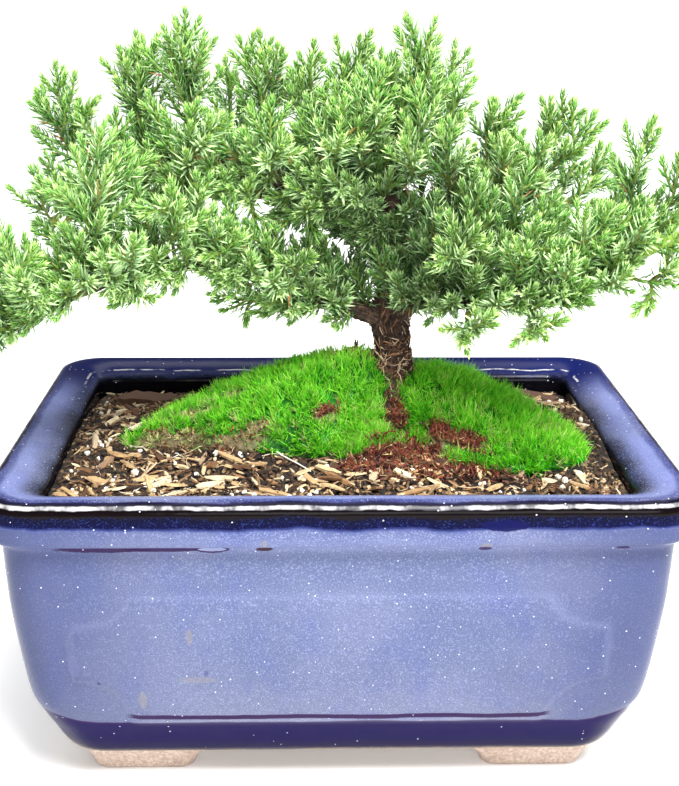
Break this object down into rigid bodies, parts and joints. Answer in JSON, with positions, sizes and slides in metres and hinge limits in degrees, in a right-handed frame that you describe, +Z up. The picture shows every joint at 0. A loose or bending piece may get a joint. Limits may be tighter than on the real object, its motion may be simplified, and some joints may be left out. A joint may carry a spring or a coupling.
{
  "type": "potted juniper bonsai",
  "caption": "Juniper bonsai with spreading needle-clad branches over a mossy mound of soil, in a rectangular glazed pot on low feet.",
  "frame": {"origin": "centre of the whole plant and pot's box in X and Y, at the soles of the feet", "axes": "+Z up, the pot's long side along X, its front towards -Y"},
  "size_m": [0.2262, 0.15, 0.229],
  "materials": {
    "glaze": "gloss",
    "soil": "matte",
    "moss": "matte",
    "dry_moss": "matte",
    "bark": "matte",
    "needles": "satin"
  },
  "bodies": {
    "root": {"pot": "glaze", "soil": "soil", "moss_left": "moss", "moss_right": "moss", "moss_dry": "dry_moss", "trunk_and_branches": "bark", "crown_spray_1": "needles", "crown_spray_2": "needles", "crown_spray_3": "needles", "crown_spray_4": "needles", "left_front_spray_1": "needles", "left_front_spray_2": "needles", "left_front_spray_3": "needles", "low_left_spray_1": "needles", "low_left_spray_2": "needles", "low_left_spray_3": "needles", "low_left_spray_4": "needles", "low_left_spray_5": "needles", "low_left_spray_6": "needles", "low_left_spray_7": "needles", "low_right_spray_1": "needles", "low_right_spray_2": "needles", "low_right_spray_3": "needles", "low_right_spray_4": "needles", "low_right_spray_5": "needles", "low_right_spray_6": "needles", "low_right_spray_7": "needles", "low_right_spray_8": "needles", "low_right_spray_9": "needles", "low_side_spray_1": "needles", "rear_left_spray_1": "needles", "rear_left_spray_2": "needles", "rear_left_spray_3": "needles", "rear_left_spray_4": "needles", "rear_left_spray_5": "needles", "rear_left_spray_6": "needles", "rear_right_spray_1": "needles", "rear_right_spray_2": "needles", "rear_right_spray_3": "needles", "rear_right_spray_4": "needles", "upper_left_spray_1": "needles", "upper_left_spray_2": "needles", "upper_left_spray_3": "needles", "upper_left_spray_4": "needles", "upper_left_spray_5": "needles", "upper_left_spray_6": "needles", "upper_left_spray_7": "needles", "upper_left_spray_8": "needles", "upper_left_spray_9": "needles", "upper_left_spray_10": "needles", "upper_left_spray_11": "needles", "upper_right_spray_1": "needles", "upper_right_spray_2": "needles", "upper_right_spray_3": "needles", "upper_right_spray_4": "needles", "upper_right_spray_5": "needles", "upper_right_spray_6": "needles", "upper_right_spray_7": "needles", "upper_right_spray_8": "needles", "upper_right_spray_9": "needles"}
  },
  "joints": []
}
